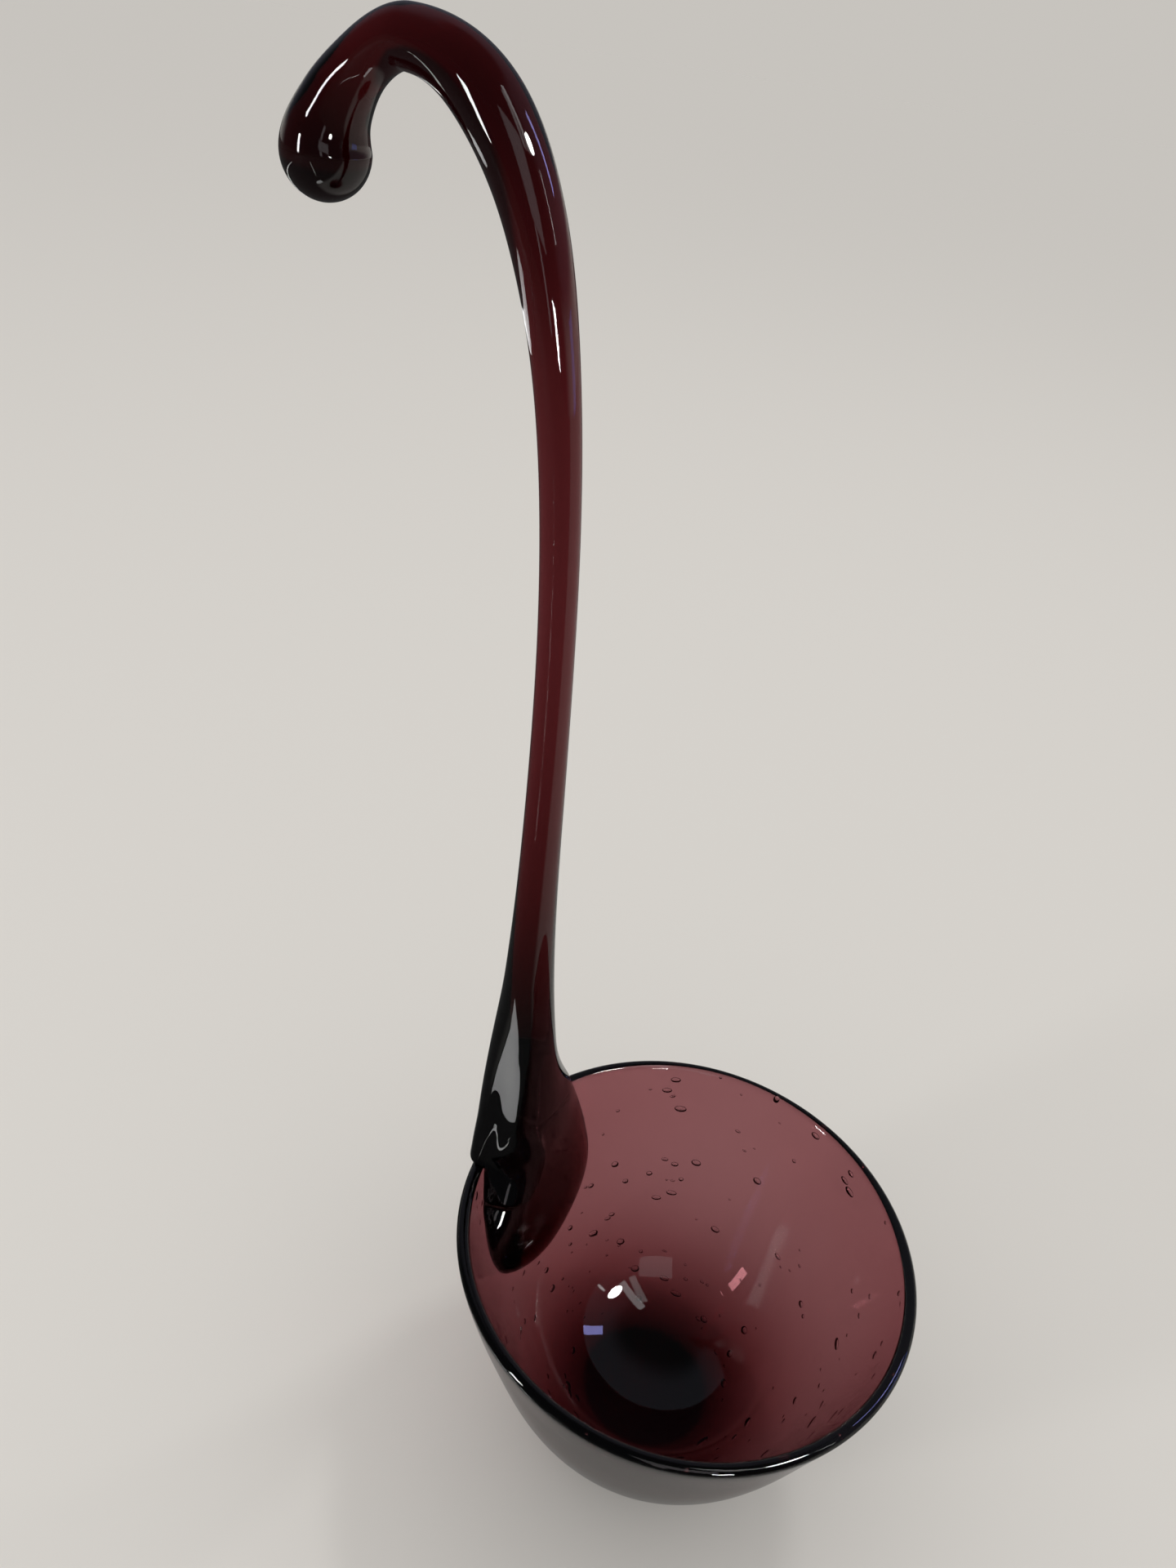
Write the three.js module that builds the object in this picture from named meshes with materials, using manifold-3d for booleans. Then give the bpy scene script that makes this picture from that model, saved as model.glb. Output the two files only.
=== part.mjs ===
import * as THREE from 'three';
import { mergeVertices } from 'three/addons/utils/BufferGeometryUtils.js';
import Module from 'manifold-3d';

// A hand-blown serving ladle of plum-coloured glass, in millimetres.
// The bowl is blown: a flared cup with a fire-polished lip and a small flat base.
// The handle is a solid rod of the same glass. Its soft foot is pressed on the inside of the
// bowl's wall and over the lip, and its top is bent outwards into a hook that ends in a knob.
// The origin is the middle of the flat base, +Z runs up the bowl's axis to the lip,
// and the handle stands over the -X side, with the hook bent away from the bowl.

// Bowl
const rimRadius = 45;
const bowlHeight = 58;
const baseRadius = 15;
const wallThickness = 2.6;
const floorThickness = 5;
// The side leaves the lip at this angle from upright and keeps to it over this length.
const flareAngle = THREE.MathUtils.degToRad(15);
const flareLength = 35;
// The belly meets the flat base at this angle from level, rounded over this length.
const bellyAngle = THREE.MathUtils.degToRad(34);
const bellyLength = 18.5;

// Clearance that stands for the weld between the handle's foot and the bowl.
const weldGap = 0.3;

// Run of the handle's middle line. Heights are from the lip, reaches from the lip's outer edge.
const footDrop = 11.5;
const footInset = 6.5;
const footLean = THREE.MathUtils.degToRad(7);
const neckHeight = 103;
const neckReach = 0.9;
const neckLean = THREE.MathUtils.degToRad(3.8);
const archHeight = 188.5;
const archReach = 35.6;
const hookSpan = 14.2;
const hookDrop = 15.9;
// How far each stretch of the line keeps the direction it has at its end.
const footPull = 42;
const neckPull = 41;
const shoulderPull = 43;
const archPull = 26.5;
const hookPull = 5.4;
const knobPull = 6.9;

// Girth of the rod. A station's place counts the three stretches of the middle line from
// 0 to 3: stem 0 to 1, shoulder 1 to 2, hook 2 to 3. Thick is measured in the plane of the
// hook, wide across it.
const girth = [
  { place: 0.0, thick: 14.4, wide: 30.0 },
  { place: 0.1, thick: 14.4, wide: 26.0 },
  { place: 0.2, thick: 14.0, wide: 18.4 },
  { place: 0.31, thick: 12.2, wide: 13.2 },
  { place: 0.45, thick: 9.6, wide: 9.9 },
  { place: 0.62, thick: 7.7, wide: 7.7 },
  { place: 0.83, thick: 6.6, wide: 6.6 },
  { place: 1.1, thick: 6.1, wide: 6.1 },
  { place: 1.38, thick: 6.8, wide: 6.8 },
  { place: 1.6, thick: 8.9, wide: 8.9 },
  { place: 1.78, thick: 10.2, wide: 10.2 },
  { place: 2.0, thick: 8.1, wide: 8.1 },
  { place: 2.4, thick: 8.1, wide: 8.1 },
  { place: 2.7, thick: 10.4, wide: 10.4 },
  { place: 3.0, thick: 13.3, wide: 13.3 },
];
const footRounding = 6;

// Foot pad pressed on the inside of the wall
const padDepth = 15.5;
const padRise = 19;
const padFall = 16.7;
const padHalfAngle = THREE.MathUtils.degToRad(29);
const padThickness = 8.6;

// Fineness of the faceted solids
const turnSteps = 64;
const profileSteps = 14;
const lipSteps = 6;
const rodSides = 20;
const stretchSteps = 16;
const capSteps = 5;
const padSteps = 24;
const padRings = 16;

const wasm = await Module();
wasm.setup();

const lipRadius = wallThickness / 2;
const lipHeight = bowlHeight - lipRadius;

// Curve of the bowl's outer side, from under the lip down to the edge of the flat base.
function outerCurve() {
  const top = new THREE.Vector2(rimRadius, lipHeight);
  const bottom = new THREE.Vector2(baseRadius, 0);
  return new THREE.CubicBezierCurve(
    top,
    top.clone().add(new THREE.Vector2(-Math.sin(flareAngle), -Math.cos(flareAngle)).setLength(flareLength)),
    bottom.clone().add(new THREE.Vector2(Math.cos(bellyAngle), Math.sin(bellyAngle)).setLength(bellyLength)),
    bottom,
  );
}

// Curve of the bowl's inside at a depth of glass from the outer side, from the lip to the axis.
function innerCurve(glass, floor) {
  const outer = outerCurve();
  return new THREE.CubicBezierCurve(
    new THREE.Vector2(rimRadius - glass, lipHeight),
    new THREE.Vector2(outer.v1.x - glass, outer.v1.y),
    new THREE.Vector2(outer.v2.x - glass, floor),
    new THREE.Vector2(0, floor),
  );
}

// Points of the rounded lip, from its inner edge over the top to its outer edge.
function lipPoints(gap) {
  const points = [];
  for (let i = 1; i < lipSteps; i++) {
    const angle = Math.PI * (1 - i / lipSteps);
    points.push(new THREE.Vector2(
      rimRadius - lipRadius + (lipRadius + gap) * Math.cos(angle),
      lipHeight + (lipRadius + gap) * Math.sin(angle),
    ));
  }
  return points;
}

function bowlGeometry() {
  const profile = [
    new THREE.Vector2(0, 0),
    ...outerCurve().getPoints(profileSteps).reverse(),
    ...lipPoints(0).reverse(),
    ...innerCurve(wallThickness, floorThickness).getPoints(profileSteps),
  ];
  return new THREE.LatheGeometry(profile, turnSteps).rotateX(Math.PI / 2);
}

// All the room that the bowl takes, with the weld clearance, out past the foot and down.
function bowlRoomGeometry() {
  const inside = innerCurve(wallThickness + weldGap, floorThickness + weldGap).getPoints(profileSteps);
  const far = rimRadius + girth[0].thick;
  const top = bowlHeight + weldGap;
  const overLip = lipPoints(weldGap).filter((point) => point.x <= rimRadius - lipRadius);
  const profile = [
    new THREE.Vector2(0, -bowlHeight),
    new THREE.Vector2(far, -bowlHeight),
    new THREE.Vector2(far, top),
    ...overLip.reverse(),
    ...inside,
  ];
  return new THREE.LatheGeometry(profile, turnSteps).rotateX(Math.PI / 2);
}

// Radius of the bowl's inside at a height. Above the lip the flare runs on.
function insideRadius(height) {
  if (height > lipHeight) {
    return rimRadius - wallThickness + (height - lipHeight) * Math.tan(flareAngle);
  }
  const points = innerCurve(wallThickness, floorThickness).getPoints(profileSteps * 4);
  const below = points.findIndex((point) => point.y <= height);
  const a = points[below - 1] ?? points[0];
  const b = points[below];
  return THREE.MathUtils.mapLinear(height, a.y, b.y, a.x, b.x);
}

// The three stretches of the handle's middle line, in the plane of the hook.
function handleStretches() {
  const point = (reach, height) => new THREE.Vector2(-rimRadius - reach, bowlHeight + height);
  const foot = point(-footInset, -footDrop);
  const neck = point(neckReach, neckHeight);
  const arch = point(archReach, archHeight);
  const knob = point(archReach + hookSpan, archHeight - hookDrop);
  const direction = (lean) => new THREE.Vector2(-Math.sin(lean), Math.cos(lean));
  const footward = direction(footLean);
  const leaning = direction(neckLean);
  const upward = direction(0);
  const outward = direction(Math.PI / 2);
  const stretch = (start, startWay, startPull, endPull, endWay, end) => new THREE.CubicBezierCurve(
    start,
    start.clone().addScaledVector(startWay, startPull),
    end.clone().addScaledVector(endWay, -endPull),
    end,
  );
  return [
    stretch(foot, footward, footPull, neckPull, leaning, neck),
    stretch(neck, leaning, shoulderPull, archPull, outward, arch),
    stretch(arch, outward, hookPull, -knobPull, upward, knob),
  ];
}

// Rings along the rod: the middle of each, its direction along the rod and its two half sizes.
function handleRings() {
  const girthAt = new THREE.CubicInterpolant(
    girth.map((station) => station.place),
    girth.flatMap((station) => [station.thick / 2, station.wide / 2]),
    2,
  );
  const rings = [];
  handleStretches().forEach((stretch, index) => {
    for (let i = index === 0 ? 0 : 1; i <= stretchSteps; i++) {
      const t = i / stretchSteps;
      const [thick, wide] = girthAt.evaluate(index + t);
      rings.push({ middle: stretch.getPoint(t), along: stretch.getTangent(t), thick, wide });
    }
  });
  const cap = (ring, length, side) => {
    const rounded = [];
    for (let i = 1; i < capSteps; i++) {
      const angle = (i / capSteps) * (Math.PI / 2);
      const middle = ring.middle.clone().addScaledVector(ring.along, side * length * Math.sin(angle));
      const shrink = Math.cos(angle);
      rounded.push({ middle, along: ring.along, thick: ring.thick * shrink, wide: ring.wide * shrink });
    }
    const tip = ring.middle.clone().addScaledVector(ring.along, side * length);
    rounded.push({ middle: tip, along: ring.along, thick: 0, wide: 0 });
    return rounded;
  };
  const last = rings[rings.length - 1];
  return [...cap(rings[0], footRounding, -1).reverse(), ...rings, ...cap(last, last.thick, 1)];
}

// A closed skin over the rings, whose first and last are points.
function rodGeometry() {
  const positions = [];
  const faces = [];
  const rings = handleRings();
  rings.forEach((ring) => {
    const sides = ring.thick > 0 ? rodSides : 1;
    for (let i = 0; i < sides; i++) {
      const angle = (i / rodSides) * 2 * Math.PI;
      const across = ring.thick * Math.cos(angle);
      positions.push(
        ring.middle.x + ring.along.y * across,
        ring.wide * Math.sin(angle),
        ring.middle.y - ring.along.x * across,
      );
    }
  });
  const first = (ring) => 1 + (ring - 1) * rodSides;
  const end = first(rings.length - 1);
  for (let i = 0; i < rodSides; i++) {
    const next = (i + 1) % rodSides;
    faces.push(0, first(1) + next, first(1) + i);
    for (let ring = 1; ring < rings.length - 2; ring++) {
      const low = first(ring);
      const high = first(ring + 1);
      faces.push(low + i, low + next, high + next, low + i, high + next, high + i);
    }
    faces.push(end, first(rings.length - 2) + i, first(rings.length - 2) + next);
  }
  const geometry = new THREE.BufferGeometry();
  geometry.setAttribute('position', new THREE.Float32BufferAttribute(positions, 3));
  geometry.setIndex(faces);
  return geometry;
}

// The foot pad: a ball spread over the inside of the wall, flattened against it.
function padGeometry() {
  const geometry = new THREE.SphereGeometry(1, padSteps, padRings).rotateX(Math.PI / 2);
  const position = geometry.attributes.position;
  const buried = wallThickness / 2;
  for (let i = 0; i < position.count; i++) {
    const inward = position.getX(i);
    const azimuth = position.getY(i) * padHalfAngle;
    const lift = position.getZ(i);
    const height = bowlHeight - padDepth + lift * (lift > 0 ? padRise : padFall);
    const radius = insideRadius(height) - inward * (inward > 0 ? padThickness : buried);
    position.setXYZ(i, -radius * Math.cos(azimuth), radius * Math.sin(azimuth), height);
  }
  return geometry;
}

function solid(geometry) {
  const bare = geometry.clone();
  bare.deleteAttribute('normal');
  bare.deleteAttribute('uv');
  const merged = mergeVertices(bare);
  return new wasm.Manifold(new wasm.Mesh({
    numProp: 3,
    vertProperties: new Float32Array(merged.attributes.position.array),
    triVerts: new Uint32Array(merged.index.array),
  }));
}

function geometryOf(body) {
  const mesh = body.getMesh();
  const geometry = new THREE.BufferGeometry();
  geometry.setAttribute('position', new THREE.BufferAttribute(mesh.vertProperties, 3));
  geometry.setIndex(new THREE.BufferAttribute(mesh.triVerts, 1));
  geometry.computeVertexNormals();
  return geometry;
}

function handleGeometry() {
  const gather = solid(rodGeometry()).add(solid(padGeometry()));
  return geometryOf(gather.subtract(solid(bowlRoomGeometry())));
}

function glassPiece(name, geometry, color, opacity) {
  const finish = { color, opacity, transparent: true, roughness: 0.05, metalness: 0 };
  const piece = new THREE.Mesh(geometry, new THREE.MeshStandardMaterial(finish));
  piece.name = name;
  return piece;
}

const ladle = new THREE.Group();
ladle.add(
  glassPiece('bowl', bowlGeometry(), 0x6b3a44, 0.7),
  glassPiece('handle', handleGeometry(), 0x471420, 0.9),
);

export default ladle;
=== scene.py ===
"""A hand-blown glass ladle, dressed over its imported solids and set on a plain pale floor."""

import math
import random

import bmesh
import bpy
from mathutils import Matrix, Vector, noise


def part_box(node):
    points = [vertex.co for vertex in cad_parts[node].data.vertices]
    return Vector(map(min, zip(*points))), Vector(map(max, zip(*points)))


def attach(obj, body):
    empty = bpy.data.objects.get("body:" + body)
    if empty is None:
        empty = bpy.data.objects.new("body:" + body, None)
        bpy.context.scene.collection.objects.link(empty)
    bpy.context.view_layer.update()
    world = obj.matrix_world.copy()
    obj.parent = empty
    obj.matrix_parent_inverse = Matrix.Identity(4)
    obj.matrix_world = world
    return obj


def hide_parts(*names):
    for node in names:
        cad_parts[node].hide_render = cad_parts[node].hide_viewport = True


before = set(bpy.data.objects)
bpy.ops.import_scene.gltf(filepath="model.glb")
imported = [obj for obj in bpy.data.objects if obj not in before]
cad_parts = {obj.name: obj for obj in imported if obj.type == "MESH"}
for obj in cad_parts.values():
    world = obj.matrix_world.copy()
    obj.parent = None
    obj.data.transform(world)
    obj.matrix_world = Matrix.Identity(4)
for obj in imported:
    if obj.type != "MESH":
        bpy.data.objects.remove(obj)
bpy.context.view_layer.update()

bl_info = {
    "name": "Glass Ladle",
    "version": (1, 0, 0),
    "blender": (4, 5, 0),
    "location": "View3D > Sidebar > Ladle",
    "description": "Makes a hand-blown plum glass ladle and its studio",
    "category": "Add Mesh",
}

MM = 0.001
BOWL_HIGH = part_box("bowl")[1]
BODY = "root"
WHITE = (1, 1, 1, 1)
HALVINGS = 40


# Sizes and colours that a user would change

def linear(text):
    """Linear colour of an sRGB hex value."""
    parts = [int(text[i:i + 2], 16) / 255 for i in (0, 2, 4)]
    return tuple(c / 12.92 if c <= 0.04045 else ((c + 0.055) / 1.055) ** 2.4 for c in parts)


def length(name, description, default):
    return bpy.props.FloatProperty(
        name=name, description=description, default=default, subtype="DISTANCE", unit="LENGTH", precision=5
    )


def angle(name, description, degrees):
    return bpy.props.FloatProperty(
        name=name, description=description, default=math.radians(degrees), subtype="ANGLE", unit="ROTATION"
    )


def colour(name, description, text):
    return bpy.props.FloatVectorProperty(
        name=name, description=description, size=3, subtype="COLOR", min=0, max=1, default=linear(text)
    )


class BowlSizes(bpy.types.PropertyGroup):
    """Sizes of the blown bowl"""

    rim_radius: length("Rim radius", "Outer radius of the lip", BOWL_HIGH.x)
    height: length("Height", "From the flat base to the top of the lip", BOWL_HIGH.z)
    base_radius: length("Base radius", "Radius of the flat base", 15 * MM)
    wall: length("Wall", "Thickness of the wall at the lip", 2.6 * MM)
    floor: length("Floor", "Thickness of the glass over the base", 5 * MM)
    flare_angle: angle("Flare", "Lean of the side under the lip", 15)
    flare_length: length("Flare length", "How far the side keeps to the flare", 35 * MM)
    belly_angle: angle("Belly", "Rise of the belly where it leaves the base", 34)
    belly_length: length("Belly length", "How far the belly keeps to its rise", 18.5 * MM)
    waviness: length("Waviness", "How far the blown surface strays from round", 0.35 * MM)
    swell: length("Swell length", "Distance from one swell of the waviness to the next", 24 * MM)


class HandleSizes(bpy.types.PropertyGroup):
    """Sizes of the solid handle, with heights from the lip and reaches from its outer edge"""

    foot_drop: length("Foot drop", "How far the rod's middle line starts below the lip", 11.5 * MM)
    foot_inset: length("Foot inset", "How far the middle line starts inside the lip", 6.5 * MM)
    foot_lean: angle("Foot lean", "Lean of the rod at its foot", 7)
    neck_height: length("Neck height", "Height of the neck, where the stem ends", 103 * MM)
    neck_reach: length("Neck reach", "Reach of the neck", 0.9 * MM)
    neck_lean: angle("Neck lean", "Lean of the rod at the neck", 3.8)
    arch_height: length("Arch height", "Height of the middle line at the top of the arch", 188.5 * MM)
    arch_reach: length("Arch reach", "Reach of the top of the arch", 35.6 * MM)
    hook_span: length("Hook span", "From the top of the arch out to the knob", 14.2 * MM)
    hook_drop: length("Hook drop", "From the top of the arch down to the knob", 15.9 * MM)
    pad_depth: length("Pad depth", "Thickness of the pad at its thickest", 8.6 * MM)
    pad_width: length("Pad width", "Half of the pad's width along the wall", 20.6 * MM)
    tongue: length("Tongue", "How far the rod's own end stands out over the pad", 1.8 * MM)
    sink: length("Sink", "How far the pad has melted into the wall", 0.3 * MM)
    flattened: bpy.props.FloatProperty(
        name="Flattened", description="How flat the tool left the near side over the foot", default=1.5
    )


class GlassLooks(bpy.types.PropertyGroup):
    """Looks of the glass"""

    tint: colour("Tint", "Colour of the melt, which deepens with the thickness of the glass", "c66e7c")
    density: bpy.props.FloatProperty(
        name="Density", description="Absorption per metre of a melt with a black tint", default=850, min=0
    )
    ior: bpy.props.FloatProperty(
        name="IOR", description="Index of refraction of soda-lime glass", default=1.52
    )
    roughness: bpy.props.FloatProperty(
        name="Roughness", description="Roughness of the fire-polished skin", default=0.015, subtype="FACTOR"
    )
    seeds: bpy.props.IntProperty(
        name="Seeds", description="Number of bubbles in the wall", default=260, min=0
    )


class StageLooks(bpy.types.PropertyGroup):
    """Floor, light and camera"""

    floor_colour: colour("Floor colour", "Colour of the floor and backdrop", "dcd8d2")
    fill: bpy.props.FloatProperty(
        name="Fill", description="Strength of the even light", default=0.8, min=0
    )
    shade_start: length(
        "Shade start", "How far in front and to the left the mirrored floor starts to darken", 75 * MM
    )
    camera_place: bpy.props.FloatVectorProperty(
        name="Camera place", description="Where the camera stands", size=3, subtype="TRANSLATION",
        unit="LENGTH", default=(35.8 * MM, -144.2 * MM, 255.7 * MM),
    )
    lens: bpy.props.FloatProperty(
        name="Lens", description="Focal length for a 36 mm sensor, in millimetres", default=27.15
    )


# Shapes

def bezier(points, t):
    """Point on a cubic curve through its four points, at t from 0 to 1."""
    a, b, c, d = points
    s = 1 - t
    return a * s ** 3 + b * (3 * s * s * t) + c * (3 * s * t * t) + d * t ** 3


def bezier_way(points, t):
    """Direction of the curve at t."""
    a, b, c, d = points
    s = 1 - t
    return ((b - a) * (s * s) + (c - b) * (2 * s * t) + (d - c) * (t * t)).normalized()


def smooth_step(low, high, value):
    t = min(max((value - low) / (high - low), 0), 1)
    return t * t * (3 - 2 * t)


def mix(a, b, share):
    return a + (b - a) * share


def outer_curve(sizes):
    """Side of the bowl from under the lip to the edge of the base, as (radius, height) points."""
    top = Vector((sizes.rim_radius, sizes.height - sizes.wall / 2))
    bottom = Vector((sizes.base_radius, 0))
    flare = Vector((-math.sin(sizes.flare_angle), -math.cos(sizes.flare_angle))) * sizes.flare_length
    belly = Vector((math.cos(sizes.belly_angle), math.sin(sizes.belly_angle))) * sizes.belly_length
    return top, top + flare, bottom + belly, bottom


def inner_curve(sizes):
    """Inside of the bowl from the lip to the middle of its floor, as (radius, height) points."""
    outer = outer_curve(sizes)
    return (
        Vector((sizes.rim_radius - sizes.wall, outer[0].y)),
        Vector((outer[1].x - sizes.wall, outer[1].y)),
        Vector((outer[2].x - sizes.wall, sizes.floor)),
        Vector((0, sizes.floor)),
    )


def at_height(curve, height):
    """Radius of a falling curve at a height, found by halving."""
    low, high = 0.0, 1.0
    for _ in range(HALVINGS):
        middle = (low + high) / 2
        if bezier(curve, middle).y > height:
            low = middle
        else:
            high = middle
    return bezier(curve, low).x


def bowl_profile(sizes, steps=26, lip_steps=10, base_shares=(0, 0.5, 0.9)):
    """Outline of the wall from the middle of the base, up the outside, over the lip and down inside."""
    outer = outer_curve(sizes)
    inner = inner_curve(sizes)
    lip = sizes.wall / 2
    points = [Vector((sizes.base_radius * share, 0)) for share in base_shares]
    points += [bezier(outer, 1 - i / steps) for i in range(steps + 1)]
    for i in range(1, lip_steps):
        turn = math.pi * i / lip_steps
        radius = sizes.rim_radius - lip + lip * math.cos(turn)
        points.append(Vector((radius, outer[0].y + lip * math.sin(turn))))
    points += [bezier(inner, i / steps) for i in range(steps + 1)]
    return points


# Modelling helpers

def select_only(piece):
    bpy.ops.object.select_all(action="DESELECT")
    piece.select_set(True)
    bpy.context.view_layer.objects.active = piece


def put_in_order(mesh):
    """Sorts the faces by their points, because a spin leaves them in another order at each run."""
    faces = []
    for face in mesh.polygons:
        corners = list(face.vertices)
        first = corners.index(min(corners))
        faces.append(corners[first:] + corners[:first])
    points = [vertex.co.copy() for vertex in mesh.vertices]
    mesh.clear_geometry()
    mesh.from_pydata(points, [], sorted(faces))


def finish_piece(piece, name, material, node=None):
    """Names a finished piece, gives it its material and ties it to the frame."""
    piece.name = name
    piece.data.name = name
    piece.data.materials.clear()
    piece.data.materials.append(material)
    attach(piece, BODY)
    if node:
        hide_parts(node)


def skin(name, rings):
    """A closed mesh over rings of points, whose first and last are single points."""
    mesh = bpy.data.meshes.new(name)
    points, faces = [], []
    sides = len(rings[1])
    for ring in rings:
        points += ring
    starts = [0] + [1 + i * sides for i in range(len(rings) - 1)]
    for i in range(sides):
        j = (i + 1) % sides
        faces.append((0, 1 + i, 1 + j))
        for low, high in zip(starts[1:-2], starts[2:-1]):
            faces.append((low + j, low + i, high + i, high + j))
        faces.append((starts[-1], starts[-2] + j, starts[-2] + i))
    mesh.from_pydata(points, [], faces)
    piece = bpy.data.objects.new(name, mesh)
    bpy.context.collection.objects.link(piece)
    return piece


# Materials

def add_node(tree, kind, inputs=(), **settings):
    """Adds a node with its settings, values and links, and returns it."""
    made = tree.nodes.new(kind)
    for name, value in settings.items():
        setattr(made, name, value)
    for socket, value in dict(inputs).items():
        if isinstance(value, bpy.types.NodeSocket):
            tree.links.new(value, made.inputs[socket])
        else:
            made.inputs[socket].default_value = value
    return made


def new_material(name):
    material = bpy.data.materials.new(name)
    material.use_nodes = True
    material.node_tree.nodes.clear()
    return material, material.node_tree


def glass_material(name, looks, ripple, depth, stretch):
    """Soda-lime glass coloured in the melt: deep wine where it is thick and thin rose where it is blown.

    Its fire-polished skin is glossy, and a slow ripple of a real size and depth bends the reflections a
    little. Along the way that the hot glass was pulled, the ripple is drawn out.
    """
    material, tree = new_material(name)
    place = add_node(tree, "ShaderNodeTexCoord").outputs["Object"]
    drawn = add_node(tree, "ShaderNodeMapping", {"Vector": place, "Scale": stretch})
    swells = add_node(tree, "ShaderNodeTexNoise", {
        "Vector": drawn.outputs[0], "Scale": 1 / ripple, "Detail": 1.5, "Roughness": 0.4,
    })
    bump = add_node(tree, "ShaderNodeBump", {
        "Height": swells.outputs["Fac"], "Distance": depth, "Strength": 1.0,
    })
    glass = add_node(tree, "ShaderNodeBsdfPrincipled", {
        "Base Color": WHITE,
        "Roughness": looks.roughness,
        "IOR": looks.ior,
        "Transmission Weight": 1.0,
        "Normal": bump.outputs[0],
    })
    melt = add_node(tree, "ShaderNodeVolumeAbsorption", {
        "Color": (*looks.tint, 1), "Density": looks.density,
    })
    add_node(tree, "ShaderNodeOutputMaterial", {"Surface": glass.outputs[0], "Volume": melt.outputs[0]})
    return material


def seed_material(looks):
    """Air trapped in the glass: a bubble that bends light the other way and shows as a dark ring."""
    material, tree = new_material("trapped_air_seed")
    air = add_node(tree, "ShaderNodeBsdfGlass", {
        "Color": WHITE, "Roughness": 0.0, "IOR": 1 / looks.ior,
    })
    add_node(tree, "ShaderNodeOutputMaterial", {"Surface": air.outputs[0]})
    return material


def mirrored(tree):
    """1 for what shows as a reflection on the glass, 0 for what is seen straight or through it."""
    bounces = add_node(tree, "ShaderNodeLightPath").outputs["Glossy Depth"]
    return add_node(tree, "ShaderNodeMath", {0: bounces, 1: 1.0}, operation="MINIMUM").outputs[0]


def paper_and_painted_shade_material(looks, shade_end=1.6, least_shade=0.4):
    """Matt studio paper: even and without shine.

    Where the glass reflects it, a grey painted shade is mixed into its colour. This darkens it a little
    near the ladle, and wholly in front and on the left, from shade_end times the shade's start on.
    """
    material, tree = new_material("matt_paper_with_painted_reflection_shade")
    paper = add_node(tree, "ShaderNodeBsdfPrincipled", {
        "Base Color": (*looks.floor_colour, 1), "Roughness": 1.0, "Specular IOR Level": 0.0,
    })
    # painted shade: a grey that darkens the floor wherever it shows as a reflection on the glass
    shade = add_node(tree, "ShaderNodeBsdfDiffuse", {"Color": (*linear("505050"), 1)})
    place = add_node(tree, "ShaderNodeTexCoord").outputs["Object"]
    place = add_node(tree, "ShaderNodeSeparateXYZ", {0: place}).outputs
    nearest = add_node(tree, "ShaderNodeMath", {0: place["X"], 1: place["Y"]}, operation="MINIMUM")
    shaded = add_node(tree, "ShaderNodeMapRange", {
        "Value": nearest.outputs[0],
        "From Min": -looks.shade_start,
        "From Max": -shade_end * looks.shade_start,
        "To Min": least_shade,
    }, interpolation_type="SMOOTHSTEP").outputs[0]
    # how much painted shade each point gets, and only in reflections
    share = add_node(tree, "ShaderNodeMath", {0: shaded, 1: mirrored(tree)}, operation="MULTIPLY")
    both = add_node(tree, "ShaderNodeMixShader", {
        0: share.outputs[0], 1: paper.outputs[0], 2: shade.outputs[0],
    })
    add_node(tree, "ShaderNodeOutputMaterial", {"Surface": both.outputs[0]})
    return material


# Pieces

class LADLE_OT_bowl(bpy.types.Operator):
    """Blow the bowl: one wall spun round the axis and softened off true"""

    bl_idname = "ladle.bowl"
    bl_label = "Bowl"

    spin_steps = 128
    weld = 0.01 * MM  # points nearer than this are one
    calm = 0.15  # share of the height at the lip and at the base over which the waviness dies out
    ripple = 9 * MM  # from crest to crest
    ripple_depth = 0.02 * MM
    ripple_stretch = (1, 1, 0.6)

    def execute(self, context):
        sizes = context.scene.ladle_bowl
        looks = context.scene.ladle_glass
        bpy.ops.object.select_all(action="DESELECT")
        bpy.ops.mesh.primitive_plane_add(size=sizes.wall, location=(0, 0, 0))
        piece = context.active_object
        bpy.ops.object.mode_set(mode="EDIT")
        bpy.ops.mesh.merge(type="CENTER")
        profile = bowl_profile(sizes)
        for start, end in zip(profile, profile[1:]):
            step = end - start
            bpy.ops.mesh.extrude_region_move(TRANSFORM_OT_translate={"value": (step.x, 0, step.y)})
        bpy.ops.mesh.select_all(action="SELECT")
        bpy.ops.mesh.spin(steps=self.spin_steps, angle=2 * math.pi, center=(0, 0, 0), axis=(0, 0, 1))
        bpy.ops.mesh.select_all(action="SELECT")
        bpy.ops.mesh.remove_doubles(threshold=self.weld)
        bpy.ops.mesh.normals_make_consistent(inside=False)
        bpy.ops.object.mode_set(mode="OBJECT")
        put_in_order(piece.data)
        self.soften(piece, sizes)
        select_only(piece)
        bpy.ops.object.modifier_add(type="SUBSURF")
        piece.modifiers[-1].levels = piece.modifiers[-1].render_levels = 1
        bpy.ops.object.modifier_apply(modifier=piece.modifiers[-1].name)
        bpy.ops.object.shade_smooth()
        glass = glass_material(
            "blown_soda_lime_glass", looks, self.ripple, self.ripple_depth, self.ripple_stretch
        )
        finish_piece(piece, "blown_bowl", glass, "bowl")
        return {"FINISHED"}

    def soften(self, piece, sizes):
        """Pulls the wall inwards in slow swells that die out at the lip and the base."""
        for vertex in piece.data.vertices:
            place = vertex.co
            share = place.z / sizes.height
            hold = smooth_step(0, self.calm, share) * smooth_step(1, 1 - self.calm, share)
            swell = noise.noise(place / sizes.swell) - 0.5
            radius = math.hypot(place.x, place.y)
            if radius > 0:
                pull = sizes.waviness * hold * swell
                place.x += pull * place.x / radius
                place.y += pull * place.y / radius


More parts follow.
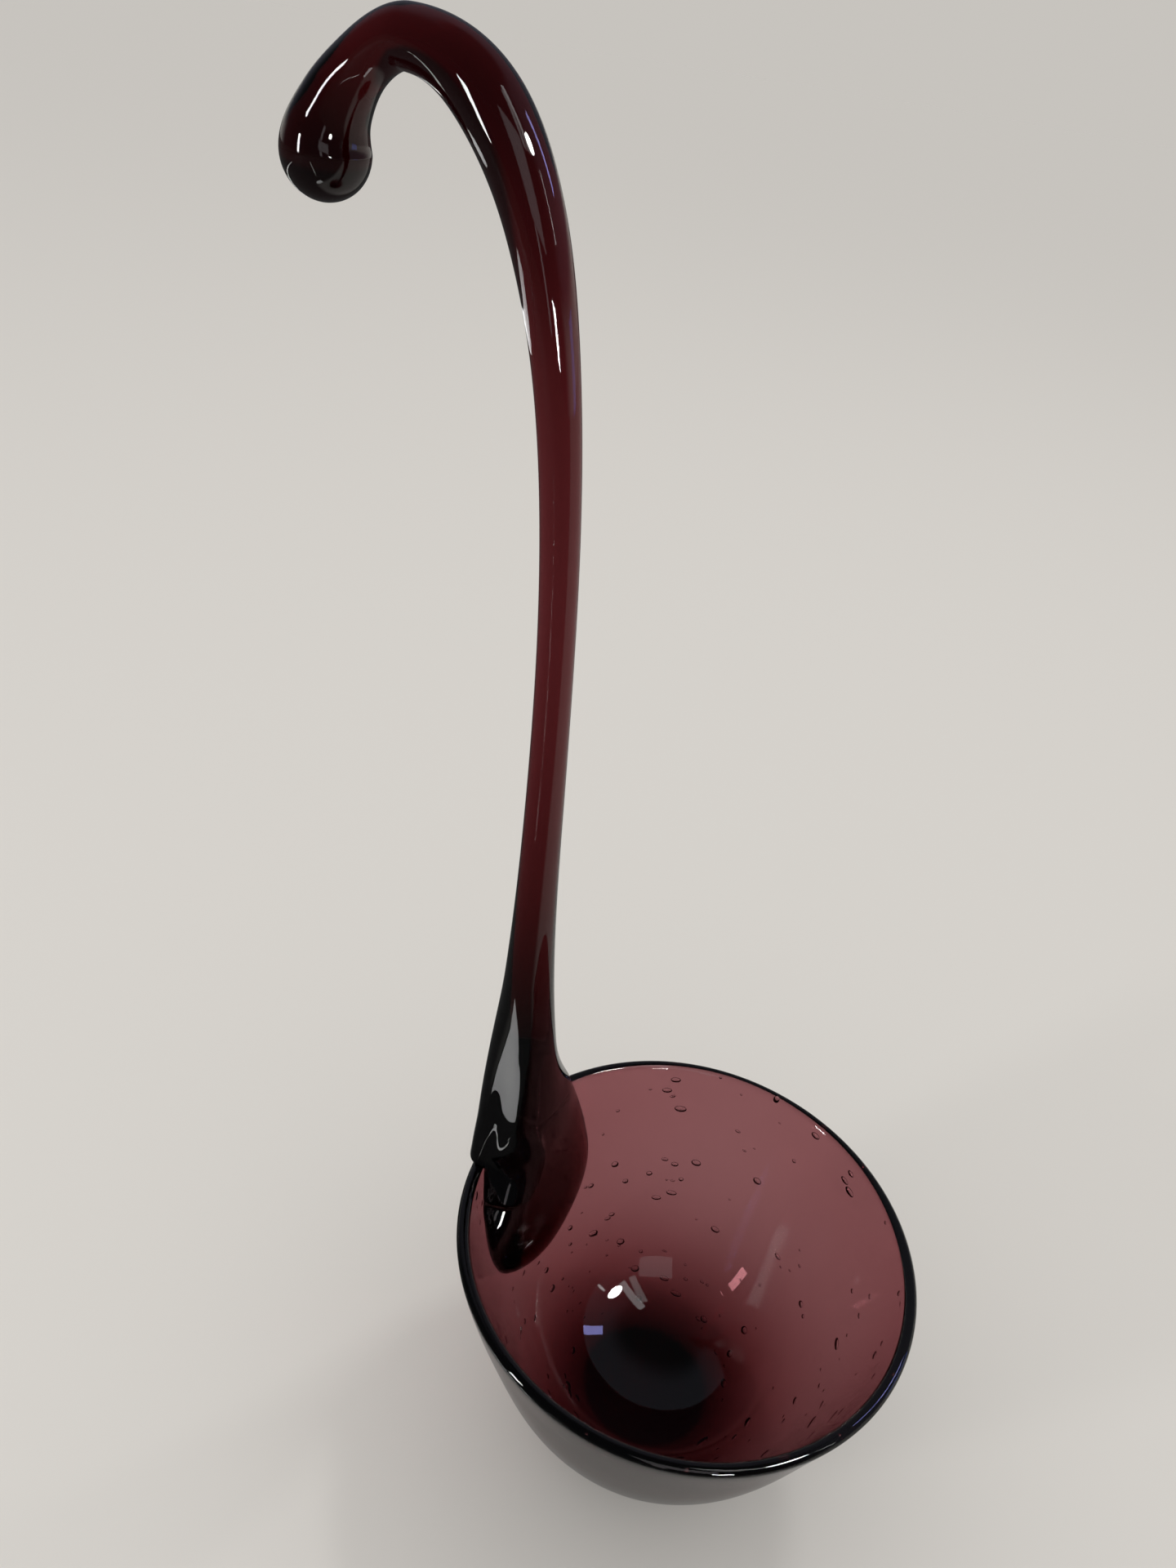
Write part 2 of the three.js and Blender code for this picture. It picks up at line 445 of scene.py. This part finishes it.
class LADLE_OT_handle(bpy.types.Operator):
    """Draw the handle: a solid rod with its foot pressed on the wall and its top bent to a hook"""

    bl_idname = "ladle.handle"
    bl_label = "Handle"

    # Stations of girth along the rod, near to the solid's: place 0 to 1 is the stem, 1 to 2 the
    # shoulder and 2 to 3 the hook. Each has its thickness in the hook's plane and its width, in mm.
    girth = (
        (0.0, 14.4, 30.0), (0.1, 14.4, 26.0), (0.2, 14.0, 18.4), (0.31, 12.2, 13.2), (0.45, 9.6, 9.9),
        (0.62, 7.7, 7.7), (0.83, 6.6, 6.6), (1.1, 6.1, 6.1), (1.38, 6.8, 6.8), (1.6, 8.7, 8.7),
        (1.78, 9.8, 9.8), (2.0, 8.1, 8.1), (2.4, 8.1, 8.1), (2.7, 10.4, 10.4), (3.0, 13.3, 13.3),
    )
    # How far each stretch of the middle line keeps the direction it has at its ends, in mm
    pulls = ((42, 41), (43, 25.4), (5.4, 6.9))
    sides = 64
    stretch_steps = (60, 50, 40)
    cap_steps = 10
    tip_steps = 26
    ripple = 6 * MM  # from crest to crest
    ripple_depth = 0.015 * MM
    ripple_stretch = (1, 1, 0.12)

    def execute(self, context):
        self.bowl = context.scene.ladle_bowl
        self.sizes = context.scene.ladle_handle
        looks = context.scene.ladle_glass
        self.inner = inner_curve(self.bowl)
        self.stretches = self.middle_line()
        self.slopes = self.girth_slopes()
        piece = skin("drawn_handle", self.foot_rings() + self.rod_rings())
        select_only(piece)
        bpy.ops.object.modifier_add(type="SUBSURF")
        piece.modifiers[-1].levels = piece.modifiers[-1].render_levels = 1
        bpy.ops.object.modifier_apply(modifier=piece.modifiers[-1].name)
        bpy.ops.object.shade_smooth()
        glass = glass_material(
            "drawn_soda_lime_glass", looks, self.ripple, self.ripple_depth, self.ripple_stretch
        )
        finish_piece(piece, "drawn_handle", glass, "handle")
        return {"FINISHED"}

    def middle_line(self):
        """Three curves in the hook's plane, as (reach from the axis, height) points."""
        bowl, sizes = self.bowl, self.sizes

        def point(reach, height):
            return Vector((bowl.rim_radius + reach, bowl.height + height))

        def way(lean):
            return Vector((math.sin(lean), math.cos(lean)))

        foot = point(-sizes.foot_inset, -sizes.foot_drop)
        neck = point(sizes.neck_reach, sizes.neck_height)
        arch = point(sizes.arch_reach, sizes.arch_height)
        knob = point(sizes.arch_reach + sizes.hook_span, sizes.arch_height - sizes.hook_drop)
        ends = (
            (foot, way(sizes.foot_lean), way(sizes.neck_lean), neck),
            (neck, way(sizes.neck_lean), way(math.pi / 2), arch),
            (arch, way(math.pi / 2), way(math.pi), knob),
        )
        return [
            (a, a + from_a * pull[0] * MM, b - to_b * pull[1] * MM, b)
            for (a, from_a, to_b, b), pull in zip(ends, self.pulls)
        ]

    def girth_slopes(self):
        """Slopes of the girth at its stations, for smooth curves between them."""
        slopes = []
        for i in range(len(self.girth)):
            a = self.girth[max(i - 1, 0)]
            b = self.girth[min(i + 1, len(self.girth) - 1)]
            slopes.append(tuple((b[k] - a[k]) / (b[0] - a[0]) for k in (1, 2)))
        slopes[-1] = (0, 0)  # the knob is widest where its round end begins
        return slopes

    def half_girth(self, place):
        """Half of the thickness and half of the width at a place along the rod, in metres."""
        i = max(k for k in range(len(self.girth) - 1) if self.girth[k][0] <= max(place, 0))
        a, b = self.girth[i], self.girth[i + 1]
        span = b[0] - a[0]
        t = (place - a[0]) / span
        halves = []
        for k in (1, 2):
            value = (
                a[k] * (2 * t ** 3 - 3 * t * t + 1)
                + b[k] * (3 * t * t - 2 * t ** 3)
                + self.slopes[i][k - 1] * span * (t ** 3 - 2 * t * t + t)
                + self.slopes[i + 1][k - 1] * span * (t ** 3 - t * t)
            )
            halves.append(value / 2 * MM)
        return halves

    def stem_place(self, height):
        """Place along the stem at a height, found by halving."""
        low, high = 0.0, 1.0
        for _ in range(HALVINGS):
            middle = (low + high) / 2
            if bezier(self.stretches[0], middle).y < height:
                low = middle
            else:
                high = middle
        return low

    # The foot, in rises from the top of the lip
    rod_start = 26 * MM  # above this the rod is plain and its rings stand across it
    rod_gap = 1.2 * MM  # from there to the plain rod's first ring
    flow_top = 2.5 * MM  # above this the foot is as deep as the rod
    pad_widest = -13.5 * MM
    pad_middle = -16.5 * MM  # where the pad is thickest
    pad_bottom = -32.1 * MM
    pad_power = 0.62  # how full the pad's outline is, where 0.5 is an ellipse
    middle_rises = (-2 * MM, 8 * MM)  # between these the sections' middle goes from the wall to the rod's
    wrap_top = -1.5 * MM  # from here up the sections lie less and less along the round wall
    lean_start = 1 * MM  # from here up they turn to stand across the rod
    plain_gap = 2 * MM  # this far over flow_top their points begin to space out as the rod's do
    least_back = 1 * MM  # the least depth of a section behind its middle
    # Over the lip the back of the foot may reach out past the lip's middle
    over_start = -0.15 * MM  # from here up
    over_end = 3 * MM  # in full from here up
    over_reach = 8 * MM
    # The rod's own end, a low tongue that lies over the near side of the pad
    tongue_end = -6.5 * MM
    tongue_middle = -13 * MM
    tongue_half = 9.5 * MM
    tongue_edge = 0.12  # share of its breadth over which its edge rises
    tongue_side = 0.3  # how much of it shows at the side
    tongue_top = 9 * MM  # from here up it is one with the rod
    tongue_full = 2 * MM  # from here down it stands out in full
    # The flat that the tool left on the near side
    flat_low = (-16 * MM, -5 * MM)  # where it begins and where it is full
    flat_high = (44 * MM, 16 * MM)  # where it ends and where it is full
    flat_thinning = 0.09  # how much of the near width it took, for each unit of flattened
    # Spacing of the sections, fine where the form turns quickly
    fine_rises = ((-7 * MM, -3.5 * MM), (-1.7 * MM, 3.5 * MM))
    fine_step = 0.35 * MM
    coarse_step = 0.8 * MM
    # How the outline of a section is traced outwards from a point inside it
    trace_depth = 0.35  # that point's share of the pad's depth
    trace_reach = 40 * MM
    trace_halvings = 30
    least_width = 0.05 * MM  # keeps the lowest sections from having no width at all

    def wall_radius(self, height):
        """Radius of the bowl's inside, running on up above the lip."""
        top = self.inner[0]
        if height > top.y:
            return top.x + (height - top.y) * math.tan(self.bowl.flare_angle)
        return at_height(self.inner, height)

    def back_limit(self, height):
        """How far out the glass may go: to the wall below the lip, over it and a little past it above."""
        bowl = self.bowl
        lip = bowl.wall / 2
        crest = bowl.rim_radius - lip
        lip_height = bowl.height - lip
        inner = self.wall_radius(height)
        if height > lip_height:
            inner = crest - math.sqrt(max(lip ** 2 - (height - lip_height) ** 2, 0))
        inner += self.sizes.sink
        start, end = bowl.height + self.over_start, bowl.height + self.over_end
        if height <= start:
            return inner
        share = min((end - height) / (end - start), 1) if height < end else 0
        return crest + self.over_reach * math.sqrt(1 - share ** 2)

    def tongue(self, rise, across):
        """How far the rod's own end stands out over the pad, at a rise and a place across the rod."""
        side = (across - self.tongue_middle) / self.tongue_half
        inside = 1 - math.hypot(side, max(rise / self.tongue_end, 0))
        edge = smooth_step(0, self.tongue_edge, inside)
        return self.sizes.tongue * edge * smooth_step(self.tongue_top, self.tongue_full, rise)

    def flattening(self, rise, a, b):
        """Reach of a section in the direction (a, b) as a share of a round one's: the near side is flat."""
        if b >= 0:
            return 1
        flat = self.sizes.flattened * smooth_step(*self.flat_low, rise) * smooth_step(*self.flat_high, rise)
        power = 2 + flat
        span = math.hypot(a, b)
        slimmer = 1 - self.flat_thinning * flat * (b / span) ** 2
        return slimmer * span / (abs(a) ** power + abs(b) ** power) ** (1 / power)

    def foot_section(self, rise):
        """The foot at a rise: its middle, its depth towards the axis and behind, its near and far width."""
        sizes = self.sizes
        height = self.bowl.height + rise
        place = self.stem_place(height)
        line = bezier(self.stretches[0], place)
        half_thick, half_wide = self.half_girth(place)
        wall = self.wall_radius(height)
        span = max(self.pad_middle - rise, 0) / (self.pad_middle - self.pad_bottom)
        depth = sizes.pad_depth * math.sqrt(max(1 - span ** 2, 0))
        front = mix(wall - depth, line.x - half_thick, smooth_step(self.pad_middle, self.flow_top, rise))
        middle = mix(wall, line.x, smooth_step(*self.middle_rises, rise))
        back = max(line.x + half_thick - middle, self.least_back)
        if rise < self.pad_widest:
            span = (self.pad_widest - rise) / (self.pad_widest - self.pad_bottom)
            near = far = sizes.pad_width * max(1 - span ** 2, 0) ** self.pad_power
        else:
            near = mix(sizes.pad_width, half_wide, smooth_step(self.pad_widest, self.flow_top, rise))
            far = mix(sizes.pad_width, half_wide, smooth_step(self.pad_widest, self.rod_start, rise))
        return middle, (middle - front, back), (near, far)

    def foot_rings(self):
        """Rings of the foot from its lowest point up to where the rod is plain."""
        span = self.pad_middle - self.pad_bottom
        turns = [math.pi / 2 * i / self.tip_steps for i in range(1, self.tip_steps + 1)]
        rises = [self.pad_middle - span * math.cos(turn) for turn in turns]
        rise = self.pad_middle
        while rise < self.rod_start:
            fine = any(low < rise < high for low, high in self.fine_rises)
            rise += self.fine_step if fine else self.coarse_step
            rises.append(min(rise, self.rod_start))
        low = self.bowl.height + self.pad_bottom
        tip = Vector((-self.wall_radius(low), 0, low))
        return [[tip]] + [self.foot_ring(rise) for rise in rises]

    def foot_ring(self, rise):
        """One ring of the foot: its section, bent to the round wall below and tilted to the rod above."""
        height = self.bowl.height + rise
        middle, depths, widths = self.foot_section(rise)
        wall = self.wall_radius(height)
        place = self.stem_place(height)
        line = bezier(self.stretches[0], place).x
        half_thick, half_wide = self.half_girth(place)
        wrapped = 1 - smooth_step(self.wrap_top, self.rod_start, rise)
        tilt = bezier_way(self.stretches[0], place)
        slope = tilt.x / tilt.y * smooth_step(self.lean_start, self.rod_start, rise)
        plain = smooth_step(self.flow_top + self.plain_gap, self.rod_start, rise)
        spacing = mix(1, half_thick / half_wide, plain)
        limit = self.back_limit(height)
        core = wall - self.trace_depth * depths[0]
        start = mix(core, line, smooth_step(self.tongue_end, self.flow_top, rise))

        def inside(radius, across):
            stands_out = self.tongue(rise, across)
            depth = depths[0] + stands_out if radius < middle else depths[1]
            width = widths[0] + self.tongue_side * stands_out if across < 0 else widths[1]
            a, b = (radius - middle) / depth, across / max(width, self.least_width)
            return radius < limit and math.hypot(a, b) < self.flattening(rise, a, b)

        ring = []
        for i in range(self.sides):
            turn = 2 * math.pi * i / self.sides
            way = Vector((math.cos(turn) * spacing, math.sin(turn))).normalized()
            low, high = 0.0, self.trace_reach
            for _ in range(self.trace_halvings):
                reach = (low + high) / 2
                if inside(start + reach * way.x, reach * way.y):
                    low = reach
                else:
                    high = reach
            radius = start + low * way.x
            across = low * way.y
            azimuth = across / wall
            flat = Vector((-radius, across, 0))
            curved = Vector((-radius * math.cos(azimuth), radius * math.sin(azimuth), 0))
            point = mix(flat, curved, wrapped)
            point.z = height - (radius - line) * slope
            ring.append(point)
        return ring

    def rod_rings(self):
        """Rings of the plain rod, from above the foot to the rounded end of the knob."""
        rings = []
        start = self.stem_place(self.bowl.height + self.rod_start + self.rod_gap)
        steps = self.stretch_steps
        places = [start + (1 - start) * i / steps[0] for i in range(steps[0] + 1)]
        for index in (1, 2):
            places += [index + i / steps[index] for i in range(1, steps[index] + 1)]
        for place in places:
            index = min(int(place), 2)
            stretch = self.stretches[index]
            t = place - index
            middle, way = bezier(stretch, t), bezier_way(stretch, t)
            rings.append(self.rod_ring(middle, way, self.half_girth(place), 1))
        end, way = self.stretches[2][3], bezier_way(self.stretches[2], 1)
        halves = self.half_girth(3)
        for i in range(1, self.cap_steps):
            turn = math.pi / 2 * i / self.cap_steps
            rings.append(self.rod_ring(end + way * halves[0] * math.sin(turn), way, halves, math.cos(turn)))
        tip = end + way * halves[0]
        rings.append([Vector((-tip.x, 0, tip.y))])
        return rings

    def rod_ring(self, middle, way, halves, shrink):
        """One ring across the rod, smaller by a factor in the knob's round end."""
        ring = []
        rise = middle.y - self.bowl.height
        for i in range(self.sides):
            turn = 2 * math.pi * i / self.sides
            reach = shrink * self.flattening(rise, math.cos(turn), math.sin(turn))
            out = halves[0] * reach * math.cos(turn)
            across = halves[1] * reach * math.sin(turn)
            ring.append(Vector((-(middle.x + way.y * out), across, middle.y - way.x * out)))
        return ring


class LADLE_OT_seeds(bpy.types.Operator):
    """Scatter the seeds: small flattened bubbles inside the bowl's wall"""

    bl_idname = "ladle.seeds"
    bl_label = "Seeds"

    lowest = 0.85  # how far down the side they reach, as a share of it
    crowding = 1.1  # over 1 they crowd towards the lip
    radii = (0.22, 0.85)  # in mm
    rarity = 2.5  # over 1 a large one is rare
    stretches = (1.0, 2.2)
    flatness = 0.4

    def execute(self, context):
        bowl = context.scene.ladle_bowl
        looks = context.scene.ladle_glass
        rng = random.Random(7)
        outer, inner = outer_curve(bowl), inner_curve(bowl)
        mesh = bmesh.new()
        for _ in range(looks.seeds):
            t = rng.random() ** self.crowding * self.lowest
            a, b = bezier(outer, t), bezier(inner, t)
            middle = (a + b) / 2
            way = bezier_way(outer, t)
            azimuth = rng.uniform(-math.pi, math.pi)
            size = mix(*self.radii, rng.random() ** self.rarity) * MM
            stretch = rng.uniform(*self.stretches)
            flat = self.flatness * size
            round_way = Vector((-math.sin(azimuth), math.cos(azimuth), 0))
            down = Vector((way.x * math.cos(azimuth), way.x * math.sin(azimuth), way.y))
            outward = round_way.cross(down)
            turn = Matrix((round_way, down, outward)).transposed()
            scale = Matrix.Diagonal((size * stretch, size, flat))
            place = Matrix.Translation(
                (middle.x * math.cos(azimuth), middle.x * math.sin(azimuth), middle.y)
            )
            bmesh.ops.create_icosphere(
                mesh, subdivisions=2, radius=1, matrix=place @ (turn @ scale).to_4x4()
            )
        bmesh.ops.recalc_face_normals(mesh, faces=mesh.faces)
        data = bpy.data.meshes.new("seed_bubbles")
        mesh.to_mesh(data)
        mesh.free()
        piece = bpy.data.objects.new("seed_bubbles", data)
        context.collection.objects.link(piece)
        select_only(piece)
        bpy.ops.object.shade_smooth()
        finish_piece(piece, "seed_bubbles", seed_material(looks))
        return {"FINISHED"}


class LADLE_OT_stage(bpy.types.Operator):
    """Set the stage: pale floor, soft light and the camera"""

    bl_idname = "ladle.stage"
    bl_label = "Stage"

    floor_radius = 6
    floor_drop = 0.05 * MM
    aim = Vector((0, 0, 20 * MM))  # the point that the lamps face
    # The two lamps that light the ladle. Each lamp has its azimuth and elevation in degrees with its
    # distance in metres, its width and height in metres, its brightness and its colour.
    overhead = ("overhead_light", (9, 66, 1.25), (0.17, 0.1), 28, "ffffff")
    window = ("window_light", (-148, 15.5, 1.05), (0.1, 0.34), 22, "ffffff")
    # Lamps that only show as reflections: a bulb, the panes and walls of a room, and the sky
    bulb = ("bulb_glint", (93, 53, 1.1), (0.23, 0.135), 40, "ffffff")
    glints = (
        ("left_pane_glint", (86, 38, 1.1), (0.03, 0.3), 5, "ffffff"),
        ("right_pane_glint", (106, 62, 1.1), (0.1, 0.5), 2.2, "ffffff"),
        ("far_pane_glint", (119, 60, 1.1), (0.1, 0.45), 1.2, "ffffff"),
        ("wall_glint", (145, 37, 1.15), (0.5, 0.6), 0.65, "fff7fa"),
        ("post_glint", (153, 15, 1.1), (0.1, 0.28), 0.85, "fff7fa"),
        ("door_glint", (131, 12.5, 1.1), (0.14, 0.13), 40, "ffffff"),
        ("sky_glint", (46, 46, 1.1), (0.1, 0.42), 7, "aaadff"),
        ("dusk_glint", (58, 12, 1.1), (0.3, 0.2), 1.2, "597cf3"),
    )
    # Pale strips on the floor that only show as streaks on the glass: the two ends of each and its
    # width in millimetres, and its brightness
    cards = (
        ("near_card_glint", (-92, -106), (-40, -111), 30, 2.7),
        ("thin_card_glint", (-54, -200), (-50, -250), 4, 4),
        ("far_card_glint", (-50, -250), (-60, -700), 5, 4),
        ("left_card_glint", (-560, -330), (-590, 460), 25, 3.5),
    )
    card_height = 1 * MM
    # The room that the glass mirrors: dim on the far side, dark on the near side and straight above.
    # Its parts pass into one another over a stretch of a direction's Y, from far to near, and of its
    # Z, from the backdrop up to the walls and from the walls up to what is straight above.
    dim_room = "696973"
    dark_room = "38383c"
    near_edge = (0.25, -0.25)
    wall_edge = (0.05, 0.2)
    zenith_edge = (0.85, 0.95)
    # Directions in the frame of the photograph's rows, to the right, and of its columns, downwards
    rows = Vector((0.8416, 0.5240, 0.1310))
    columns = Vector((0.3891, -0.4200, -0.8199))

    def execute(self, context):
        looks = context.scene.ladle_stage
        self.floor(looks)
        self.world(context.scene, looks)
        overhead = self.lamp(*self.overhead)
        overhead.visible_glossy = overhead.visible_transmission = False
        self.lamp(*self.window)
        self.glint(*self.bulb, shape="ELLIPSE")
        for values in self.glints:
            self.glint(*values)
        for values in self.cards:
            self.card(*values)
        self.camera(context.scene, looks)
        context.scene.view_settings.view_transform = "Standard"
        return {"FINISHED"}

    def floor(self, looks):
        bpy.ops.object.select_all(action="DESELECT")
        bpy.ops.mesh.primitive_circle_add(
            vertices=128, radius=self.floor_radius, fill_type="NGON", location=(0, 0, -self.floor_drop)
        )
        floor = bpy.context.active_object
        bpy.ops.object.transform_apply(location=True)
        floor.name = "studio_floor"
        floor.data.materials.append(paper_and_painted_shade_material(looks))

    def world(self, scene, looks):
        """Even light for the ladle, the backdrop's colour for the eye, and a dim room for reflections."""
        world = bpy.data.worlds.new("even_light")
        world.use_nodes = True
        tree = world.node_tree
        tree.nodes.clear()
        rays = add_node(tree, "ShaderNodeLightPath").outputs
        way = add_node(tree, "ShaderNodeTexCoord").outputs["Generated"]
        way = add_node(tree, "ShaderNodeSeparateXYZ", {0: way}).outputs

        def edge(axis, ends):
            return add_node(tree, "ShaderNodeMapRange", {
                "Value": way[axis], "From Min": ends[0], "From Max": ends[1],
            }, interpolation_type="SMOOTHSTEP").outputs[0]

        def combine(operation, a, b, clamp=False):
            return add_node(
                tree, "ShaderNodeMath", {0: a, 1: b}, operation=operation, use_clamp=clamp
            ).outputs[0]

        def background(tint, strength):
            made = add_node(tree, "ShaderNodeBackground", {"Color": tint, "Strength": strength})
            return made.outputs[0]

        def blend(share, a, b):
            return add_node(tree, "ShaderNodeMixShader", {0: share, 1: a, 2: b}).outputs[0]

        seen = combine("ADD", rays["Is Camera Ray"], rays["Is Glossy Ray"])
        seen = combine("ADD", seen, rays["Is Transmission Ray"], clamp=True)
        near = edge("Y", self.near_edge)
        above = edge("Z", self.wall_edge)
        zenith = edge("Z", self.zenith_edge)
        indirect = combine("SUBTRACT", 1.0, rays["Is Camera Ray"])
        near_mirrored = combine("MULTIPLY", near, mirrored(tree))
        room_share = combine("MAXIMUM", near_mirrored, combine("MULTIPLY", above, indirect))
        light = background(WHITE, looks.fill)
        backdrop = background((*looks.floor_colour, 1), looks.fill)
        dim = background((*linear(self.dim_room), 1), 1.0)
        dark = background((*linear(self.dark_room), 1), 1.0)
        room = blend(combine("MAXIMUM", near, zenith), dim, dark)
        both = blend(seen, light, blend(room_share, backdrop, room))
        add_node(tree, "ShaderNodeOutputWorld", {"Surface": both})
        scene.world = world

    def lamp(self, name, direction, size, brightness, tint, shape="RECTANGLE"):
        """An area lamp that faces the ladle."""
        azimuth, elevation = (math.radians(value) for value in direction[:2])
        level = math.cos(elevation)
        way = Vector((math.sin(azimuth) * level, math.cos(azimuth) * level, math.sin(elevation)))
        data = bpy.data.lights.new(name, "AREA")
        data.shape = shape
        data.size, data.size_y = size
        data.energy = brightness * math.pi * size[0] * size[1]
        data.color = linear(tint)
        lamp = bpy.data.objects.new(name, data)
        lamp.location = self.aim + way * direction[2]
        lamp.rotation_euler = (-way).to_track_quat("-Z", "Y").to_euler()
        lamp.visible_camera = False
        bpy.context.collection.objects.link(lamp)
        return lamp

    def glint(self, *values, **settings):
        """A lamp that only shows as a reflection on the glass."""
        lamp = self.lamp(*values, **settings)
        lamp.visible_diffuse = lamp.visible_transmission = False
        return lamp

    def card(self, name, start, end, width, brightness):
        """A glint that lies on the floor between two points and faces up."""
        start, end = Vector(start) * MM, Vector(end) * MM
        run = end - start
        card = self.glint(name, (0, 0, 0), (width * MM, run.length), brightness, "ffffff")
        card.location = (*(start + end) / 2, self.card_height)
        card.rotation_euler = (math.pi, 0, math.pi - math.atan2(run.x, run.y))

    def camera(self, scene, looks):
        """The camera where the photograph was taken from."""
        data = bpy.data.cameras.new("photo_camera")
        data.lens = looks.lens
        data.sensor_width = 36
        data.clip_start = 0.01
        data.clip_end = 20
        camera = bpy.data.objects.new("photo_camera", data)
        turn = Matrix((self.rows, -self.columns, self.rows.cross(-self.columns))).transposed()
        camera.location = looks.camera_place
        camera.rotation_euler = turn.to_euler()
        bpy.context.collection.objects.link(camera)
        scene.camera = camera


class LADLE_PT_panel(bpy.types.Panel):
    """Buttons and sizes of the ladle"""

    bl_idname = "LADLE_PT_panel"
    bl_label = "Glass Ladle"
    bl_space_type = "VIEW_3D"
    bl_region_type = "UI"
    bl_category = "Ladle"

    def draw(self, context):
        for operator in OPERATORS:
            self.layout.operator(operator.bl_idname)
        for group in GROUPS:
            sizes = getattr(context.scene, group)
            for name in sizes.__annotations__:
                self.layout.prop(sizes, name)


GROUPS = {
    "ladle_bowl": BowlSizes,
    "ladle_handle": HandleSizes,
    "ladle_glass": GlassLooks,
    "ladle_stage": StageLooks,
}
OPERATORS = (LADLE_OT_stage, LADLE_OT_bowl, LADLE_OT_handle, LADLE_OT_seeds)


def register():
    for name, group in GROUPS.items():
        bpy.utils.register_class(group)
        setattr(bpy.types.Scene, name, bpy.props.PointerProperty(type=group))
    for operator in OPERATORS:
        bpy.utils.register_class(operator)
    bpy.utils.register_class(LADLE_PT_panel)


def unregister():
    bpy.utils.unregister_class(LADLE_PT_panel)
    for operator in reversed(OPERATORS):
        bpy.utils.unregister_class(operator)
    for name, group in reversed(GROUPS.items()):
        delattr(bpy.types.Scene, name)
        bpy.utils.unregister_class(group)


def main():
    register()
    bpy.ops.ladle.stage()
    bpy.ops.ladle.bowl()
    bpy.ops.ladle.handle()
    bpy.ops.ladle.seeds()


if __name__ == "__main__":
    main()
